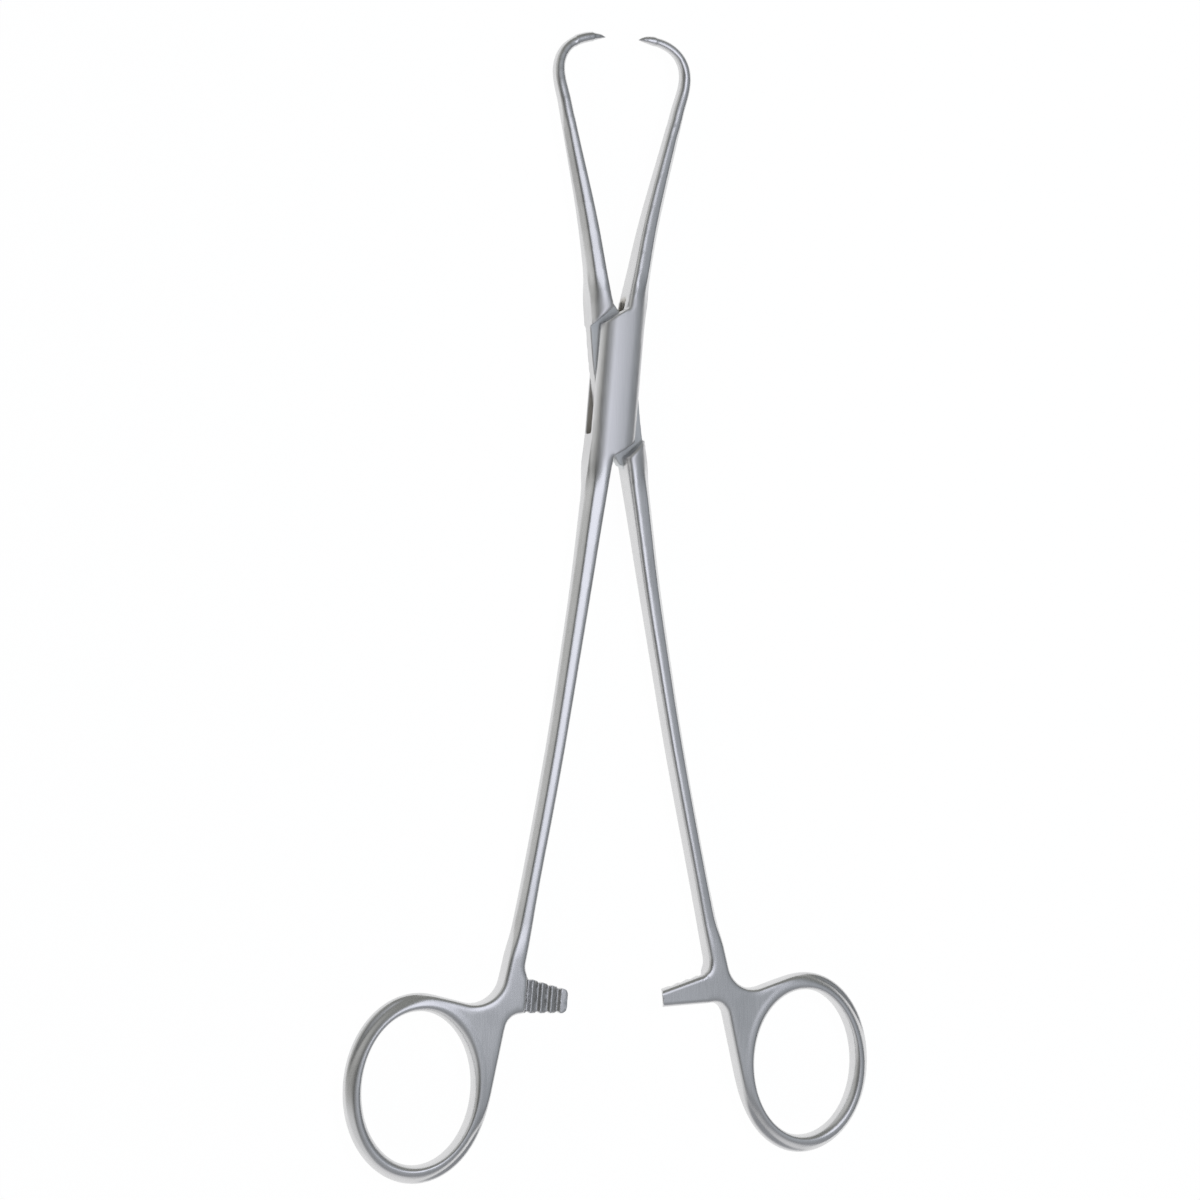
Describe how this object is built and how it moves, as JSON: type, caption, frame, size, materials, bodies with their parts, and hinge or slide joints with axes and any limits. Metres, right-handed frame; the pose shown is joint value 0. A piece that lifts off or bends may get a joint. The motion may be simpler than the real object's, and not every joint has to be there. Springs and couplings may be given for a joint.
{
  "type": "tenaculum forceps",
  "caption": "Long ring-handled surgical forceps with a box lock, ratchet arms and slender jaws that end in inward-curved sharp hooks.",
  "frame": {"origin": "the pivot axis where it meets the back of the box lock, on which the forceps lie", "axes": "+Y from the pivot towards the jaws along the middle of the opened handles, +Z out of the front of the lock"},
  "size_m": [0.1258, 0.2473, 0.007],
  "materials": {
    "satin_steel": "satin",
    "rivet_steel": "satin"
  },
  "bodies": {
    "box_half": {"box_half": "satin_steel", "pivot_pin": "rivet_steel"},
    "tenon_half": {"tenon_half": "satin_steel"}
  },
  "joints": [
    {"name": "box_lock_pivot", "type": "hinge", "parent": "box_half", "child": "tenon_half", "pos_m": [0, 0, 0.0035], "axis": [0, 0, 1], "range_deg": [-10.5, 45]}
  ]
}
